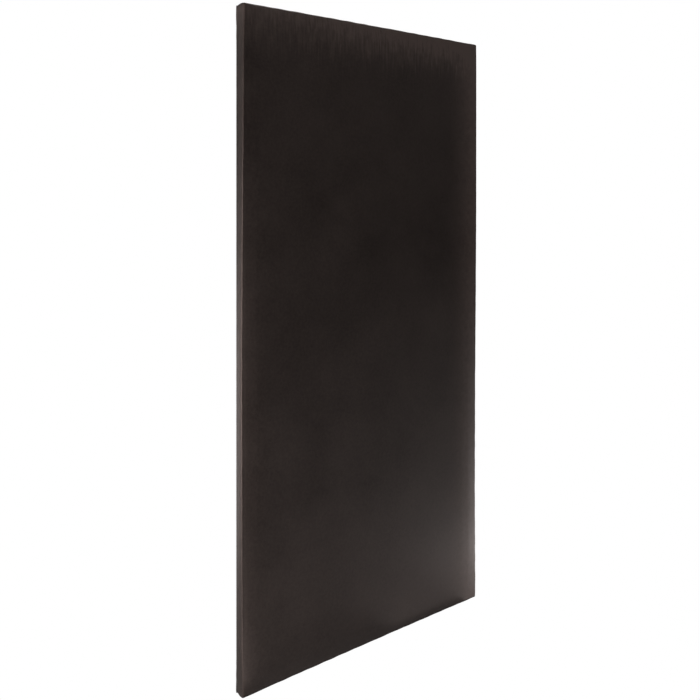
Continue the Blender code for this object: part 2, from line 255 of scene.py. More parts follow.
def stations(count, half):
    """count + 1 values from -1 to 1 along a side, closer together near its ends."""
    fine = np.linspace(-1.0, 1.0, 4001)
    gap = np.minimum(MIDDLE_GAP, CORNER_GAP + GAP_GROWTH * (1.0 - np.abs(fine)) * half)
    run = np.concatenate([[0.0], np.cumsum(0.5 / gap[1:] + 0.5 / gap[:-1])])
    return np.interp(np.linspace(0.0, run[-1], count + 1), run, fine)


class Net:
    """The stations of one layer's mesh: rings round the pad and a grid over its middle."""

    def __init__(self, short_count, long_count):
        self.columns, self.rows = short_count, long_count
        self.across = stations(short_count, HALF_WIDTH)
        self.upward = stations(long_count, HALF_HEIGHT)
        self.size = 2 * (short_count + long_count)

    def outline(self, inset, radius):
        """Round a rounded rectangle: x, z, the way out in x and z, share, half side, along.

        share is 0 at the middle of a side and 1 at its corners.
        """
        parts = []
        for turn in range(4):
            is_long = turn % 2 == 0
            full = HALF_HEIGHT if is_long else HALF_WIDTH
            half = full - inset
            out = (HALF_WIDTH if is_long else HALF_HEIGHT) - inset
            places = (self.upward if is_long else self.across)[:-1]
            run = places * (half - radius + radius * math.pi / 4)
            angle = np.clip(np.abs(run) - (half - radius), 0.0, None) / max(radius, 1e-9)
            side = np.sign(run)
            along = np.where(angle > 0, side * (half - radius + radius * np.sin(angle)), run)
            away = out - radius + radius * np.cos(angle)
            tilt, face = side * np.sin(angle), np.cos(angle)
            c, s = ((1, 0), (0, 1), (-1, 0), (0, -1))[turn]
            columns = (
                away * c - along * s,
                away * s + along * c,
                face * c - tilt * s,
                face * s + tilt * c,
                np.abs(along) / half,
                np.full(len(along), full),
                along,
            )
            parts.append(columns)
        return [np.concatenate(column) for column in zip(*parts)]

    def ring(self, inset, depth, wrap=1.0, bow=0.0, radius=None, bulge=0.0):
        """One loop as an (n, 3) array. depth is a number or a rule of (x, z)."""
        if radius is None:
            radius = FRONT_CORNER * max(0.0, 1.0 - inset / CROWN_WIDTH)
        x, z, out_x, out_z, share, full, _ = self.outline(inset, radius)
        depth = depth(x, z) if callable(depth) else np.full(len(x), depth)
        short_bow = np.where(z > 0, TOP_BOW, BOTTOM_BOW) * bow * (1 - share**2)
        long_wrap = WRAP * wrap * (1 - share**WRAP_END)
        shift = np.where(full == HALF_HEIGHT, long_wrap, short_bow) + bulge
        return np.stack([x + out_x * shift, -depth, z + out_z * shift], axis=1)

    def middle(self, depth):
        """Inner points of the grid that fills the last ring of the crown, in rows of x."""
        x = self.across[1:-1] * (HALF_WIDTH - CROWN_WIDTH)
        z = self.upward[1:-1] * (HALF_HEIGHT - CROWN_WIDTH)
        x, z = (axis.ravel() for axis in np.meshgrid(x, z, indexing="ij"))
        return np.stack([x, -depth(x, z), z], axis=1)

    def middle_faces(self, edge, first, flip=False):
        """Quads of that grid: its rim is the ring that starts at `edge`."""
        c, r = self.columns, self.rows
        number = np.full((c + 1, r + 1), -1)
        number[1:-1, 1:-1] = first + np.arange((c - 1) * (r - 1)).reshape(c - 1, r - 1)
        rim = [(c, j) for j in range(r)] + [(c - k, r) for k in range(c)]
        rim += [(0, r - k) for k in range(r)] + [(k, 0) for k in range(c)]
        for k, place in enumerate(rim):
            number[place] = edge + k
        a, b = number[:-1, :-1].ravel(), number[1:, :-1].ravel()
        d, e = number[:-1, 1:].ravel(), number[1:, 1:].ravel()
        quads = np.stack([a, b, e, d], axis=1)
        return [tuple(q) for q in (quads[:, ::-1] if flip else quads).tolist()]


def side_rings(net, offset, start, steps):
    """Up the side from a depth to the front edge's radius, drawn in and gently bulged."""
    rings = []
    for step in range(1, steps + 1):
        up = step / steps

        def depth(x, z):
            return start + up * (PAD_FRONT - crown_drop(x, z) - EDGE_RADIUS - start)

        bulge = SIDE_BULGE * math.sin(math.pi * up)
        radius = FRONT_CORNER + (BACK_CORNER - FRONT_CORNER) * (1 - up) ** 1.5
        rings.append(net.ring(offset, depth, bow=up**1.3, radius=radius, bulge=bulge))
    return rings


def edge_rings(net, offset, steps):
    """Round the front edge; the radius shrinks by the offset."""
    rings = []
    radius = EDGE_RADIUS - offset
    for step in range(1, steps + 1):
        angle = math.radians(90) * step / steps
        rise = radius * math.sin(angle)

        def depth(x, z):
            return PAD_FRONT - crown_drop(x, z) - EDGE_RADIUS + rise

        rings.append(net.ring(offset + radius * (1 - math.cos(angle)), depth, bow=1.0))
    return rings


def crown_rings(net, steps, depth):
    """From the front edge in to the flat middle, the drawn-in edge easing out on the way."""
    rings = []
    for step in range(1, steps + 1):
        share = (step / steps) ** 1.2
        inset = EDGE_RADIUS + share * (CROWN_WIDTH - EDGE_RADIUS)
        ease = (1 - share) ** 2
        rings.append(net.ring(inset, depth, wrap=ease, bow=ease))
    return rings


def staple_run(half):
    """Where the staples sit along a side: distance of the last from the middle, and pitch."""
    reach = half - STAPLE_END
    return reach, 2 * reach / round(2 * reach / STAPLE_PITCH)


# ----------------------------------------------------------------------- materials


def node(tree, kind, inputs=None, **settings):
    made = tree.nodes.new("ShaderNode" + kind)
    for key, value in settings.items():
        setattr(made, key, value)
    for key, value in (inputs or {}).items():
        socket = made.inputs[key]
        if isinstance(value, bpy.types.NodeSocket):
            tree.links.new(value, socket)
        elif socket.type == "RGBA":
            socket.default_value = (*value[:3], 1.0)
        else:
            socket.default_value = value
    return made


def new_look(name):
    material = bpy.data.materials.new(name)
    material.use_nodes = True
    tree = material.node_tree
    tree.nodes.clear()
    return material, tree, node(tree, "TexCoord").outputs["Object"]


def finish_look(tree, inputs):
    surface = node(tree, "BsdfPrincipled", inputs)
    node(tree, "OutputMaterial", {"Surface": surface.outputs[0]})


def noise(tree, place, scale, detail=2.0, roughness=0.5):
    inputs = {"Vector": place, "Scale": scale, "Detail": detail, "Roughness": roughness}
    return node(tree, "TexNoise", inputs).outputs["Fac"]


def stretched(tree, place, scale):
    return node(tree, "Mapping", {"Vector": place, "Scale": scale}).outputs[0]


def ranged(tree, value, low, high, start=0.0, end=1.0):
    inputs = {"Value": value, "From Min": start, "From Max": end, "To Min": low, "To Max": high}
    return node(tree, "MapRange", inputs).outputs[0]


def maths(tree, operation, *values):
    return node(tree, "Math", dict(enumerate(values)), operation=operation).outputs[0]


def ramp(tree, value, stops):
    made = node(tree, "ValToRGB", {"Fac": value})
    row = made.color_ramp.elements
    while len(row) < len(stops):
        row.new(0.5)
    for element, (position, colour) in zip(row, stops):
        element.position = position
        element.color = (*colour, 1.0)
    return made.outputs["Color"]


def bump(tree, height, distance, strength=1.0, normal=None):
    inputs = {"Height": height, "Distance": distance, "Strength": strength}
    if normal is not None:
        inputs["Normal"] = normal
    return node(tree, "Bump", inputs).outputs[0]


def edge_band(tree, place, half, axis, reach):
    """1 at the edge at +half on an axis, falling smoothly to 0 over a reach."""
    part = node(tree, "SeparateXYZ", {"Vector": place}).outputs[axis]
    inward = maths(tree, "SUBTRACT", half, part)
    share = maths(tree, "MAXIMUM", ranged(tree, inward, 1.0, 0.0, 0.0, reach), 0.0)
    return maths(tree, "MULTIPLY", share, share)


def vinyl_look():
    """Grained, semi-matt, very dark brown-black vinyl, with painted sheen along the right and the
    top edge.
    """
    material, tree, place = new_look("cover_vinyl_look")
    warp = node(tree, "TexNoise", {"Vector": place, "Scale": 260.0, "Detail": 1.0}).outputs["Color"]
    warp = node(tree, "VectorMath", {0: warp, 3: 0.0012}, operation="SCALE").outputs[0]
    bent = node(tree, "VectorMath", {0: place, 1: warp}, operation="ADD").outputs[0]
    inputs = {"Vector": bent, "Scale": 520.0, "Smoothness": 0.6}
    cells = node(tree, "TexVoronoi", inputs, feature="SMOOTH_F1").outputs["Distance"]
    cloudy = noise(tree, place, 75.0, 3.0)
    broad = noise(tree, place, 5.0, 6.0, 0.62)
    flecks = noise(tree, place, 120.0, 2.0, 0.75)
    creases = noise(tree, stretched(tree, place, (1.0, 1.0, 0.10)), 150.0, 2.0, 0.6)
    normal = bump(tree, cloudy, 0.00035, 0.5)
    normal = bump(tree, cells, 0.00016, 0.55, normal)

    # Painted sheen: paler colour in bands near the right and the top edge, for the light that the
    # crowned edges catch, broken up by fine creases and cloudy noise.
    right = edge_band(tree, place, HALF_WIDTH, "X", RIGHT_SHEEN_REACH)
    lift = ranged(tree, creases, -CREASE_LIFT, CREASE_LIFT, 0.3, 0.7)
    inputs = {0: place, 1: node(tree, "CombineXYZ", {"Z": lift}).outputs[0]}
    uneven = node(tree, "VectorMath", inputs, operation="ADD").outputs[0]
    top = edge_band(tree, uneven, HALF_HEIGHT, "Z", TOP_SHEEN_REACH)
    across = node(tree, "SeparateXYZ", {"Vector": place}).outputs["X"]
    top = maths(tree, "MULTIPLY", top, ranged(tree, across, *TOP_SHEEN_STRENGTH, -HALF_WIDTH, 0.2))
    sheen_bands = maths(tree, "MULTIPLY_ADD", right, RIGHT_SHEEN_STRENGTH, top)
    sheen_bands = maths(tree, "MULTIPLY", sheen_bands, ranged(tree, cloudy, 0.75, 1.25, 0.3, 0.7))
    mixed = maths(tree, "MULTIPLY_ADD", flecks, 0.50, maths(tree, "MULTIPLY", broad, 0.50))
    dark, pale = (0.0088, 0.0067, 0.0060), (0.0220, 0.0168, 0.0150)
    base = ramp(tree, mixed, ((0.30, dark), (0.70, pale)))
    inputs = {"Fac": maths(tree, "MINIMUM", sheen_bands, 1.0), "Color1": base, "Color2": PAINTED_SHEEN_COLOUR}
    inputs = {
        "Base Color": node(tree, "MixRGB", inputs).outputs[0],
        "Roughness": ranged(tree, mixed, 0.42, 0.56, 0.3, 0.7),
        "Specular IOR Level": ranged(tree, mixed, 0.44, 0.58, 0.3, 0.7),
        "Specular Tint": (1.0, 0.760, 0.69),
        "Normal": normal,
    }
    finish_look(tree, inputs)
    return material


def backing_look():
    """The vinyl's knitted backing, seen at its cut edge."""
    material, tree, place = new_look("cover_backing_look")
    inputs = {"Vector": place, "Scale": 300.0, "Distortion": 1.5}
    knit = node(tree, "TexWave", inputs).outputs["Fac"]
    colour = ramp(tree, knit, ((0.0, (0.22, 0.21, 0.20)), (1.0, (0.34, 0.33, 0.31))))
    normal = bump(tree, knit, 0.0002, 0.6)
    finish_look(tree, {"Base Color": colour, "Roughness": 0.9, "Normal": normal})
    return material


def foam_look(name, pale, dark, cell):
    """Cut foam: open cells in a pale body colour."""
    material, tree, place = new_look(name)
    cells = node(tree, "TexVoronoi", {"Vector": place, "Scale": cell}).outputs["Distance"]
    shade = maths(tree, "MULTIPLY", cells, noise(tree, place, 14.0, 3.0))
    colour = ramp(tree, shade, ((0.05, dark), (0.45, pale)))
    normal = bump(tree, cells, 0.0006, 0.8)
    finish_look(tree, {"Base Color": colour, "Roughness": 0.92, "Normal": normal})
    return material


def plywood_look():
    """Birch plywood: veneer figure on the faces and plies at the edges."""
    material, tree, place = new_look("plywood_look")
    figure = noise(tree, stretched(tree, place, (9.0, 9.0, 1.0)), 3.2, 5.0, 0.62)
    fibres = noise(tree, stretched(tree, place, (60.0, 60.0, 1.2)), 12.0, 4.0, 0.6)
    mixed = maths(tree, "MULTIPLY_ADD", fibres, 0.28, maths(tree, "MULTIPLY", figure, 0.72))
    stops = (
        (0.30, (0.36, 0.20, 0.095)),
        (0.48, (0.56, 0.37, 0.20)),
        (0.66, (0.66, 0.47, 0.28)),
    )
    veneer = ramp(tree, mixed, stops)
    depth = node(tree, "SeparateXYZ", {"Vector": place}).outputs["Y"]
    plies = maths(tree, "PINGPONG", maths(tree, "MULTIPLY", depth, 1 / 0.003), 1.0)
    edge = ramp(tree, plies, ((0.35, (0.28, 0.15, 0.07)), (0.60, (0.58, 0.40, 0.23))))
    out = node(tree, "TexCoord").outputs["Normal"]
    facing = maths(tree, "ABSOLUTE", node(tree, "SeparateXYZ", {"Vector": out}).outputs["Y"])
    facing = ranged(tree, facing, 0.0, 1.0, 0.4, 0.6)
    colour = node(tree, "MixRGB", {"Fac": facing, "Color1": edge, "Color2": veneer}).outputs[0]
    inputs = {
        "Base Color": colour,
        "Roughness": ranged(tree, fibres, 0.55, 0.75),
        "Normal": bump(tree, fibres, 0.0003, 0.35),
    }
    finish_look(tree, inputs)
    return material


def rail_look():
    """Mill-finish extruded aluminium: fine die lines along the length."""
    material, tree, place = new_look("rail_aluminium_look")
    lines = noise(tree, stretched(tree, place, (0.6, 900.0, 900.0)), 1.0, 3.0, 0.7)
    cloudy = noise(tree, place, 22.0, 4.0)
    inputs = {
        "Base Color": ramp(tree, cloudy, ((0.3, (0.60, 0.60, 0.61)), (0.7, (0.70, 0.70, 0.71)))),
        "Metallic": 1.0,
        "Roughness": ranged(tree, cloudy, 0.28, 0.42),
        "Normal": bump(tree, lines, 0.00012, 0.35),
    }
    finish_look(tree, inputs)
    return material


def zinc_look(name, pale, dark, rough):
    """Zinc plate or bright steel: cloudy, with a faint grain."""
    material, tree, place = new_look(name)
    cloudy = noise(tree, place, 260.0, 4.0)
    inputs = {
        "Base Color": ramp(tree, cloudy, ((0.35, dark), (0.65, pale))),
        "Metallic": 1.0,
        "Roughness": ranged(tree, cloudy, rough, rough + 0.14),
        "Normal": bump(tree, noise(tree, place, 2200.0, 2.0), 0.00004, 0.4),
    }
    finish_look(tree, inputs)
    return material


VINYL_LOOK = vinyl_look()
BACKING_LOOK = backing_look()
SOFT_FOAM_LOOK = foam_look("soft_foam_look", (0.46, 0.46, 0.45), (0.20, 0.20, 0.20), 900.0)
FIRM_FOAM_LOOK = foam_look("firm_foam_look", (0.12, 0.12, 0.125), (0.045, 0.045, 0.05), 480.0)
PLYWOOD_LOOK = plywood_look()
RAIL_LOOK = rail_look()
SCREW_LOOK = zinc_look("screw_zinc_look", (0.66, 0.67, 0.69), (0.50, 0.51, 0.53), 0.26)
NUT_LOOK = zinc_look("nut_zinc_look", (0.60, 0.60, 0.58), (0.42, 0.42, 0.41), 0.34)
STAPLE_LOOK = zinc_look("staple_steel_look", (0.56, 0.56, 0.55), (0.36, 0.35, 0.33), 0.30)


# ----------------------------------------------------------------------- the cover


def cover_front(x, z):
    return PAD_FRONT - crown_drop(x, z)


def lining_front(x, z):
    return cover_front(x, z) - VINYL - LINING_FRONT_GAP


def cover_rings(net):
    """The cover's outer face, from the hem's cut edge to the flat middle of the front."""
    rings = []
    for inset in np.linspace(HEM_WIDTH, BEND_RADIUS, HEM_RINGS + 1)[:-1]:
        ease = 1 - inset / HEM_WIDTH
        rings.append(net.ring(inset, PAD_BACK, wrap=ease, radius=BACK_CORNER * ease))
    for angle in np.radians(np.linspace(0, 90, BEND_RINGS)):
        inset = BEND_RADIUS * (1 - math.sin(angle))
        depth = PAD_BACK + BEND_RADIUS * (1 - math.cos(angle))
        rings.append(net.ring(inset, depth, radius=BACK_CORNER - inset))
    start = (PAD_BACK + BEND_RADIUS + BOARD_FRONT) / 2
    rings.append(net.ring(0.0, start, radius=BACK_CORNER))
    rings += side_rings(net, 0.0, start, SIDE_RINGS)
    rings += edge_rings(net, 0.0, EDGE_RINGS)
    rings += crown_rings(net, CROWN_RINGS, cover_front)
    return rings


def lining_rings(net, cut_edge):
    """The cover's inner face, from the hem's cut edge to the flat middle of the front."""
    inside = PAD_BACK + VINYL
    offset, start = VINYL + LINING_GAP, PAD_BACK + BEND_RADIUS
    rings = [
        net.ring(HEM_WIDTH, inside, radius=0.0),
        net.ring(0.6 * HEM_WIDTH, inside, wrap=0.4, radius=0.4 * BACK_CORNER),
        net.ring(BEND_RADIUS, inside, radius=BACK_CORNER - BEND_RADIUS),
        net.ring(offset, start, radius=BACK_CORNER - VINYL),
    ]
    rings[0][:, [0, 2]] = cut_edge[:, [0, 2]]
    rings += side_rings(net, offset, start, LINING_SIDE_RINGS)
    rings += edge_rings(net, VINYL, LINING_EDGE_RINGS)
    rings += crown_rings(net, LINING_CROWN_RINGS, lining_front)
    return rings


def handle(net, rings):
    """What hands and staples leave: waves on the sides, puckers and an uneven hem, folds."""
    x, z, out_x, out_z, share, full, along = net.outline(0.0, BACK_CORNER)
    run = np.cumsum(np.hypot(np.roll(x, -1) - x, np.roll(z, -1) - z))
    calm = 1.0 - smooth((share - 0.97) / 0.03)  # the corners stay as cut
    side_wave = waves(SEED + 1, SIDE_WAVES)
    hem_wave = waves(SEED + 2, HEM_WAVES)
    reach, pitch = np.zeros(len(x)), np.ones(len(x))
    for half in (HALF_WIDTH, HALF_HEIGHT):
        on = full == half
        reach[on], pitch[on] = staple_run(half)
    loose = 0.5 - 0.5 * np.cos(2 * math.pi * (along + reach) / pitch)
    loose *= np.abs(along) < reach
    from_corner = full - np.abs(along)
    on_short = full == HALF_WIDTH
    for number, points in enumerate(rings):
        depth = -points[:, 1]
        inset = inset_of(points)
        # Only the sides are free to move: held at the board's edge and towards the face.
        free = smooth((depth - PAD_BACK) / 0.004) * smooth((PAD_FRONT + 0.001 - depth) / 0.008)
        free = free * (inset < 0.012)
        fold_edge = FOLD_RUN * (PAD_FRONT - 0.004 - depth) / (PAD_FRONT - PAD_BACK)
        fold = FOLD_LIFT * smooth((fold_edge - from_corner) / 0.002) * on_short * free
        wave = side_wave(run + SIDE_LEAN * depth) / SIDE_WAVES[0]
        slack = SIDE_SLACK * (0.5 + 0.5 * np.tanh(wave))
        push = slack * calm * free + fold
        cut = max(0.0, 1.0 - number / CUT_FADE) * hem_wave(run) * calm
        points[:, 0] += out_x * (push + cut)
        points[:, 2] += out_z * (push + cut)
        if number < HEM_RINGS:
            lift = PUCKER * loose * smooth(inset / PUCKER_START) * (1.0 - PUCKER_EASE * number)
            mitre = FOLD_LIFT * on_short * smooth(1.0 - from_corner / MITRE_RUN)
            points[:, 1] += lift + mitre * smooth(inset / 0.003)


def settle(points, faces, pins):
    """Cloth pass: how far a little pressure puffs each point of the sheet out, and which way."""
    mesh = bpy.data.meshes.new("settling")
    mesh.from_pydata(points.tolist(), [], faces)
    sheet = bpy.data.objects.new("settling", mesh)
    scene = bpy.context.scene
    scene.collection.objects.link(sheet)
    group = sheet.vertex_groups.new(name="pins")
    levels = np.round(pins * 10).astype(int)
    for level in range(1, 11):
        group.add(np.flatnonzero(levels == level).tolist(), level / 10, "REPLACE")
    cloth = sheet.modifiers.new("tighten", "CLOTH")
    settings = cloth.settings
    settings.quality = 2
    settings.mass = 0.02
    settings.tension_stiffness = settings.compression_stiffness = 8.0
    settings.shear_stiffness = 5.0
    settings.bending_stiffness = 0.6
    settings.air_damping = 4.0
    settings.use_pressure = True
    settings.uniform_pressure_force = CLOTH_PRESSURE
    settings.shrink_min = 0.004
    settings.vertex_group_mass = "pins"
    settings.pin_stiffness = 1.0
    settings.effector_weights.gravity = 0.0
    cloth.collision_settings.use_collision = False
    cloth.collision_settings.use_self_collision = False
    cloth.point_cache.frame_start = 1
    cloth.point_cache.frame_end = CLOTH_FRAMES
    for number in range(1, CLOTH_FRAMES + 1):
        scene.frame_set(number)
    result = sheet.evaluated_get(bpy.context.evaluated_depsgraph_get()).to_mesh()
    flat = np.zeros(len(result.vertices) * 3)
    result.vertices.foreach_get("co", flat)
    out = np.zeros(len(flat))
    mesh.vertices.foreach_get("normal", out)
    bpy.data.objects.remove(sheet)
    bpy.data.meshes.remove(mesh)
    scene.frame_set(1)
    out = out.reshape(-1, 3)
    return ((flat.reshape(-1, 3) - points) * out).sum(axis=1), out


def puffed(points, faces):
    """Add a small, capped share of the cloth's puff; hem and flat middle stay pinned."""
    back = 1.0 - smooth((-points[:, 1] - PAD_BACK - 0.002) / 0.006)
    flat = smooth((inset_of(points) - PIN_START) / (CROWN_WIDTH - PIN_START))
    pins = np.clip(np.maximum(back, flat), 0.0, 1.0)
    puff, out = settle(points, faces, pins)
    kept = np.tanh(np.maximum(puff, 0.0) * CLOTH_SHARE / CLOTH_CAP)
    return points + out * (CLOTH_CAP * kept * (1.0 - pins))[:, None]


def build_cover():
    net = Net(*SKIN_NET)
    rings = cover_rings(net)
    handle(net, rings)
    middle = net.middle(cover_front)
    inward = inset_of(middle) - CROWN_WIDTH
    uneven = surface_waves(SEED + 3, FACE_WAVES)(middle[:, 0], middle[:, 2])
    middle[:, 1] -= uneven * smooth(inward / CROWN_WIDTH)
    count = len(rings)
    outer = np.concatenate(rings + [middle])
    faces = loft(0, count, net.size)
    faces += net.middle_faces((count - 1) * net.size, count * net.size)

    outer = puffed(outer, faces)

    lining = lining_rings(net, rings[0])
    first, size, outside = len(outer), net.size, len(faces)
    last = first + (len(lining) - 1) * size
    faces += loft(first, len(lining), size, flip=True)
    faces.append(tuple(range(last, last + size))[::-1])
    faces += [(i, first + i, first + (i + 1) % size, (i + 1) % size) for i in range(size)]
    look_of = [0] * outside + [1] * (len(faces) - outside)
    points = np.concatenate([outer] + lining)
    mesh = mesh_of("cover_vinyl", points, faces, (VINYL_LOOK, BACKING_LOOK), 60, look_of)
    return add_piece("cover_vinyl", mesh, "pad", "cover_vinyl", "cover")


cover = build_cover()


# ----------------------------------------------------------------- pleats and staples


def pleat_section(width, thick, edge):
    """Across a folded pleat: (inset, lift) from its cut edges round the nose of the fold."""
    nose = []
    for step in range(7):
        angle = math.pi * step / 6
        reach = edge + thick * 0.5 * (1 - math.sin(angle))
        nose.append((reach, thick * 0.5 * (1 - math.cos(angle))))
    cut = [(width, thick * 0.04), (width + 0.0003, thick * 0.44), (width - 0.0010, thick * 0.50)]
    cut += [(width - 0.0007, thick * 0.56), (width - 0.0009, thick * 0.97)]
    top = [(width * 0.66, thick), (width * 0.33, thick)]
    base = [(width * 0.33, 0.0), (width * 0.66, 0.0)]
    return cut + top + nose[::-1] + base


def build_pleats():
    """The slack of each corner, folded flat on the hem beside the long edge."""
    points, faces = [], []
    count = PLEAT_STEPS
    for corner, (sx, sz) in enumerate(((1, 1), (-1, 1), (-1, -1), (1, -1))):
        chance = random.Random(SEED + 20 + corner)
        wobble = waves(SEED + 30 + corner, PLEAT_WAVES)
        length = PLEAT_LENGTH * chance.uniform(0.94, 1.05)
        first = len(points)
        for k in range(count + 1):
            share = k / count
            run = share * length
            z = HALF_HEIGHT - 0.0025 - run
            width = PLEAT_WIDTH[0] + (PLEAT_WIDTH[1] - PLEAT_WIDTH[0]) * share**0.8
            width += 3 * float(wobble(run + 0.5))
            start = math.sqrt(1 - (1 - min(1.0, run / 0.004)) ** 2)
            thick = PLEAT_THICKNESS * (1.0 - 0.35 * share)
            thick *= min(1.0, start + 0.35) * min(1.0, (length - run) / 0.006 + 0.30)
            edge = float(wobble(run)) * 0.6 - 0.0004 + 0.0012 * share
            row = pleat_section(width, thick, edge)
            size = len(row)
            for inset, lift in row:
                points.append((sx * (HALF_WIDTH - inset), lift - PAD_BACK - SEAT, sz * z))
        flip = sx * sz > 0
        faces += loft(first, count + 1, size, flip=flip)
        start = tuple(range(first, first + size))
        stop = tuple(range(first + count * size, first + (count + 1) * size))
        faces.append(start if flip else start[::-1])
        faces.append(stop[::-1] if flip else stop)
    mesh = mesh_of("corner_pleats", points, faces, (VINYL_LOOK,), 50)
    return add_piece("corner_pleats", mesh, "pad", "cover_vinyl")


pleats = build_pleats()


def surface_behind(pieces):
    """A rule that gives the depth of the pad's back surface at (x, z)."""
    trees = []
    for piece in pieces:
        mesh = piece.data
        corners = [tuple(v.co) for v in mesh.vertices]
        trees.append(BVHTree.FromPolygons(corners, [tuple(p.vertices) for p in mesh.polygons]))

    def depth(x, z):
        found = []
        for tree in trees:
            hit = tree.ray_cast(Vector((x, 0.0, z)), Vector((0, -1, 0)), 0.03)
            if hit[0] is not None:
                found.append(-hit[0].y)
        return min(found)

    return depth


def staple_path():
    """The centre line of one staple across its crown: (along, lift) pairs, legs and bends."""
    half, bend = STAPLE_CROWN / 2, STAPLE_BEND
    path = [(-half, -STAPLE_LEG)]
    for step in range(5):
        angle = math.radians(90 * step / 4)
        path.append((-half + bend * (1 - math.cos(angle)), -bend + bend * math.sin(angle)))
    return path + [(-along, lift) for along, lift in path[::-1]]


def staple_places():
    """(x, z, angle) of every staple: rows along the four hems and one across each mitre."""
    chance = random.Random(SEED + 50)
    places = []
    for turn in range(4):
        is_long = turn % 2 == 0
        half = HALF_HEIGHT if is_long else HALF_WIDTH
        out = HALF_WIDTH if is_long else HALF_HEIGHT
        reach, pitch = staple_run(half)
        c, s = ((1, 0), (0, 1), (-1, 0), (0, -1))[turn]
        for k in range(round(2 * reach / pitch) + 1):
            along = -reach + k * pitch + chance.uniform(-0.003, 0.003)
            away = out - STAPLE_INSET + chance.uniform(-0.004, 0.004)
            angle = (90 if is_long else 0) + chance.gauss(0, 6)
            places.append((away * c - along * s, away * s + along * c, angle))
    for sx in (-1, 1):
        for sz in (-1, 1):
            x = sx * (HALF_WIDTH - 0.020 + chance.uniform(-0.002, 0.002))
            z = sz * (HALF_HEIGHT - 0.022 + chance.uniform(-0.003, 0.003))
            places.append((x, z, -45 * sx * sz + chance.gauss(0, 7)))
    return places


def build_staples():
    back = surface_behind((cover, pleats))
    wide, thin = STAPLE_WIRE
    section = ((0.5, 0.30), (0.36, 0.5), (-0.36, 0.5), (-0.5, 0.30))
    section += tuple((a, -b) for a, b in section[::-1])
    path = staple_path()
    count, size = len(path), len(section)
    points, faces = [], []
    for x, z, turned in staple_places():
        ux, uz = math.cos(math.radians(turned)), math.sin(math.radians(turned))
        reach = STAPLE_CROWN / 2
        depth = min(back(x + ux * t, z + uz * t) for t in (-reach, 0.0, reach))
        depth -= thin * 0.35
        start = len(points)
        for number, (run, lift) in enumerate(path):
            before, after = path[max(0, number - 1)], path[min(count - 1, number + 1)]
            dx, dy = after[0] - before[0], after[1] - before[1]
            scale = math.hypot(dx, dy)
            for across, up in section:
                along = run - dy / scale * up * thin
                rise = lift + dx / scale * up * thin
                px = x + ux * along - uz * across * wide
                pz = z + uz * along + ux * across * wide
                points.append((px, rise - depth, pz))
        faces += loft(start, count, size)
        faces.append(tuple(range(start, start + size))[::-1])
        faces.append(tuple(range(start + (count - 1) * size, start + count * size)))
    mesh = mesh_of("hem_staples", points, faces, (STAPLE_LOOK,), 40)
    return add_piece("hem_staples", mesh, "pad", "screw_zinc")


build_staples()


# --------------------------------------------------------------------------- foams


def slab(name, look, slot, cad_name, inset, back_depth, front_depth, nick):
    """A foam sheet that follows the crown, with softly squeezed and slightly ragged edges."""
    net = Net(*FOAM_NET)
    ragged = surface_waves(SEED + len(name), (nick, *FOAM_NICKS))
    back_insets = (CROWN_WIDTH, FOAM_BACK_RING)
    rings = [net.ring(step_in, back_depth, wrap=0.0, radius=0.0) for step_in in back_insets]
    for side in (1, -1):
        for angle in (0, 30, 60, 90)[::side]:
            turn = math.radians(angle)
            step_in = inset + FOAM_ROUND * (1 - math.sin(turn))
            rise = side * FOAM_ROUND * (1 - math.cos(turn))
            rule = back_depth if side == 1 else front_depth
            ring = net.ring(step_in, lambda x, z: rule(x, z) + rise, wrap=0.0, radius=FOAM_CORNER)
            nicked = ragged(ring[:, 0], ring[:, 2])[:, None] * np.sign(ring) * (0.5, 0, 0.5)
            rings.append(ring - nicked)
    start = inset + FOAM_ROUND
    for share in FOAM_CROWN_SHARES:
        step_in = start + share * (CROWN_WIDTH - start)
        rings.append(net.ring(step_in, front_depth, wrap=0.0, radius=FOAM_CORNER * (1 - share)))
    front = net.middle(front_depth)
    rear = net.middle(back_depth)
    size, count = net.size, len(rings)
    points = np.concatenate(rings + [front, rear])
    faces = loft(0, count, size)
    faces += net.middle_faces((count - 1) * size, count * size)
    faces += net.middle_faces(0, count * size + len(front), flip=True)
    mesh = mesh_of(name, points, faces, (look,), 50)
    return add_piece(name, mesh, "pad", slot, cad_name)


def joint_front(x, z):
    return FOAM_JOINT - JOINT_SHARE * crown_drop(x, z)


slab(
    "core_foam_block",
    FIRM_FOAM_LOOK,
    "firm_foam",
    "core_foam",
    CORE_INSET,
    lambda x, z: np.full(np.shape(x), BOARD_FRONT + BOARD_CLEARANCE),
    lambda x, z: joint_front(x, z) - CORE_CLEARANCE,
    CORE_NICK,
)
slab(
    "face_foam_sheet",
    SOFT_FOAM_LOOK,
    "soft_foam",
    "face_foam",
    FACE_INSET,
    lambda x, z: joint_front(x, z) + SHEET_CLEARANCE,
    lambda x, z: lining_front(x, z) - FACE_CLEARANCE,
    FACE_NICK,
)


# ------------------------------------------------------------------- carried CAD nodes


def dress(cad_name, look, bevel):
    """Finish a CAD node that is shown as it is, and soften its edges a little."""
    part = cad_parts[cad_name]
    part.data.materials.clear()
    part.data.materials.append(look)
    part.data.shade_smooth()
    part.data.set_sharp_from_angle(angle=math.radians(32))
    soften = part.modifiers.new("soften", "BEVEL")
    soften.width = bevel
    soften.segments = 2
    soften.limit_method = "ANGLE"
    soften.angle_limit = math.radians(40)
    soften.harden_normals = True


for cad_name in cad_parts:
    if cad_name.startswith(("wall_rail", "panel_cleat")):
        dress(cad_name, RAIL_LOOK, 0.00015)
    elif cad_name.startswith("cleat_screw"):
        dress(cad_name, SCREW_LOOK, 0.00012)
    elif cad_name.startswith("tee_nut"):
        dress(cad_name, NUT_LOOK, 0.00012)
    elif cad_name == "backer_board":
        dress(cad_name, PLYWOOD_LOOK, 0.0006)


# --------------------------------------------------------------------------- stage

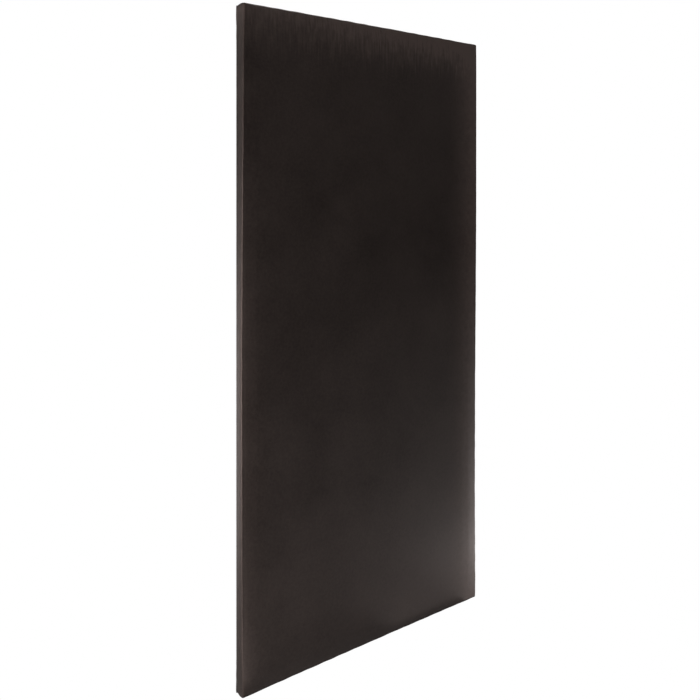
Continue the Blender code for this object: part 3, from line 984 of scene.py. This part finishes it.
FLOOR_Z = -HALF_HEIGHT - 0.001
FLOOR_HALF = 9.0
FLOOR_CORNERS = ((-1, -1), (1, -1), (1, 1), (-1, 1))
CAMERA_AT = (-1.862, -2.122, 0.4116)
CAMERA_YAW = 40.323
FOCAL_SHARE = 1.2271  # focal length in image widths
CAMERA_SHIFT = -0.20376  # the dropped lens, in image widths
SENSOR = 36.0
AMBIENT = 0.015  # strength of the white surround, for all but the camera

# Soft panels aimed at the pad: (name, place, looked at, width, height, radiance)
PANELS = (
    ("front_left", (-2.8, -2.6, 0.05), (-0.5, 0.0, 0.0), 0.9, 0.7, 32.0),
    ("left_low", (-3.0, -0.5, -0.6), (-0.5, 0.0, -0.4), 0.9, 0.6, 39.0),
    ("left_high", (-3.0, -0.5, 0.9), (-0.5, 0.0, 0.6), 0.9, 0.7, 1.75),
    ("side_high", (-2.6, 1.0, 1.2), (-0.5, 0.0, 0.6), 0.9, 0.7, 1.38),
    ("behind_left", (-2.0, 2.2, 0.1), (-0.5, 0.0, 0.0), 1.2, 0.9, 0.90),
    ("behind_left_low", (-2.0, 2.2, -0.6), (-0.5, 0.0, -0.2), 1.2, 0.6, 5.4),
    ("behind_left_high", (-2.1, 2.5, 1.7), (-0.5, 0.0, 0.9), 0.9, 0.7, 1.32),
    ("behind_left_upper", (-2.1, 2.2, 0.7), (-0.5, 0.0, 0.5), 0.9, 0.6, 0.60),
    ("right_high", (3.2, -2.2, 1.6), (0.2, 0.0, 0.3), 1.6, 1.4, 0.50),
    ("right_low", (1.9, -0.55, -0.50), (0.48, -0.05, -0.25), 0.6, 0.7, 0.60),
    ("above", (0.4, -0.25, 2.2), (0.2, -0.02, 1.0), 0.8, 0.4, 8.0),
    ("side_fill", (3.2, 1.2, 0.9), (0.4, 0.0, 0.0), 1.2, 1.0, 3.0),
    ("back_fill", (1.5, 3.2, 1.4), (0.2, 0.0, 0.0), 1.6, 1.2, 4.5),
)

# Panels that lie just above the floor and shine straight up, for the face to mirror:
# (name, x, y, width, depth, radiance)
FLOOR_PANELS = (
    ("floor_behind", -1.3, 1.2, 0.8, 0.8, 2.02),
    ("floor_near_left", -0.7, -0.4, 0.5, 0.6, 1.60),
    ("floor_foot", 0.2, -0.15, 1.6, 0.25, 0.13),
    ("floor_middle", 0.3, -0.3, 0.6, 0.5, 0.38),
    ("floor_near_right", 0.75, -0.25, 0.4, 0.4, 1.05),
    ("floor_corner", 0.72, -0.21, 0.56, 0.36, 0.60),
    ("floor_corner_wide", 0.45, -0.21, 1.26, 0.36, 0.32),
    ("floor_beside", 1.4, -0.15, 1.2, 0.3, 2.4),
    ("floor_far_right", 1.6, -0.3, 0.5, 0.5, 2.9),
    ("floor_foot_right", 0.55, -0.17, 0.9, 0.20, 0.42),
    ("floor_foot_wide", 0.35, -0.17, 1.5, 0.20, 0.26),
    ("floor_right_mid", 2.9, -1.4, 1.2, 1.2, 0.20),
)
FLOOR_PANEL_Z = FLOOR_Z + 0.006
UP = 9.0  # height of the point that a floor panel looks at


def seen_white(tree, output, shader, white):
    """Link an output to a shader that the camera itself sees as plain white."""
    straight = node(tree, "LightPath").outputs["Is Camera Ray"]
    both = node(tree, "MixShader", {0: straight, 1: shader.outputs[0], 2: white.outputs[0]})
    node(tree, output, {"Surface": both.outputs[0]})


def floor_look():
    """Pale matt floor."""
    material, tree, place = new_look("floor_look")
    stops = ((0.3, (0.60, 0.60, 0.60)), (0.7, (0.64, 0.64, 0.64)))
    paint = ramp(tree, noise(tree, place, 1.5, 2.0), stops)
    matt = node(tree, "BsdfPrincipled", {"Base Color": paint, "Roughness": 0.8})
    glow = node(tree, "Emission", {"Color": (1, 1, 1), "Strength": 1.0})
    seen_white(tree, "OutputMaterial", matt, glow)
    return material


def build_stage():
    corners = [(x * FLOOR_HALF, y * FLOOR_HALF, FLOOR_Z) for x, y in FLOOR_CORNERS]
    mesh = mesh_of("floor", corners, [(0, 1, 2, 3)], (floor_look(),))
    floor = bpy.data.objects.new("floor", mesh)
    bpy.context.scene.collection.objects.link(floor)

    world = bpy.data.worlds.new("studio")
    bpy.context.scene.world = world
    world.use_nodes = True
    tree = world.node_tree
    tree.nodes.clear()
    dim = node(tree, "Background", {"Color": (1, 1, 1), "Strength": AMBIENT})
    white = node(tree, "Background", {"Color": (1, 1, 1), "Strength": 1.0})
    seen_white(tree, "OutputWorld", dim, white)


def add_panel(name, place, target, width, height, radiance):
    data = bpy.data.lights.new(name, "AREA")
    data.shape = "RECTANGLE"
    data.size, data.size_y = width, height
    data.energy = radiance * width * height * math.pi
    lamp = bpy.data.objects.new(name, data)
    bpy.context.scene.collection.objects.link(lamp)
    lamp.location = place
    aim = Vector(target) - Vector(place)
    lamp.rotation_euler = aim.to_track_quat("-Z", "Y").to_euler()
    lamp.visible_camera = False


def build_lights():
    for panel in PANELS:
        add_panel(*panel)
    for name, x, y, width, depth, radiance in FLOOR_PANELS:
        add_panel(name, (x, y, FLOOR_PANEL_Z), (x, y, UP), width, depth, radiance)


def build_camera():
    """Level camera with a dropped lens, as for upright lines; the drop is for this place only."""
    data = bpy.data.cameras.new("camera")
    data.sensor_width = SENSOR
    data.lens = FOCAL_SHARE * SENSOR
    camera = bpy.data.objects.new("camera", data)
    bpy.context.scene.collection.objects.link(camera)
    camera.location = CAMERA_AT
    camera.rotation_euler = (math.radians(90), 0.0, -math.radians(CAMERA_YAW))
    bpy.context.scene.camera = camera
    mark = bpy.data.objects.new("camera_place", None)
    bpy.context.scene.collection.objects.link(mark)
    mark.location = CAMERA_AT
    drive = data.driver_add("shift_y").driver
    drive.type = "SCRIPTED"
    distance = drive.variables.new()
    distance.name = "away"
    distance.type = "LOC_DIFF"
    distance.targets[0].id = camera
    distance.targets[1].id = mark
    drive.expression = f"{CAMERA_SHIFT:.5f} * (away < 0.01)"


build_stage()
build_lights()
build_camera()
bpy.context.scene.view_settings.view_transform = "Standard"
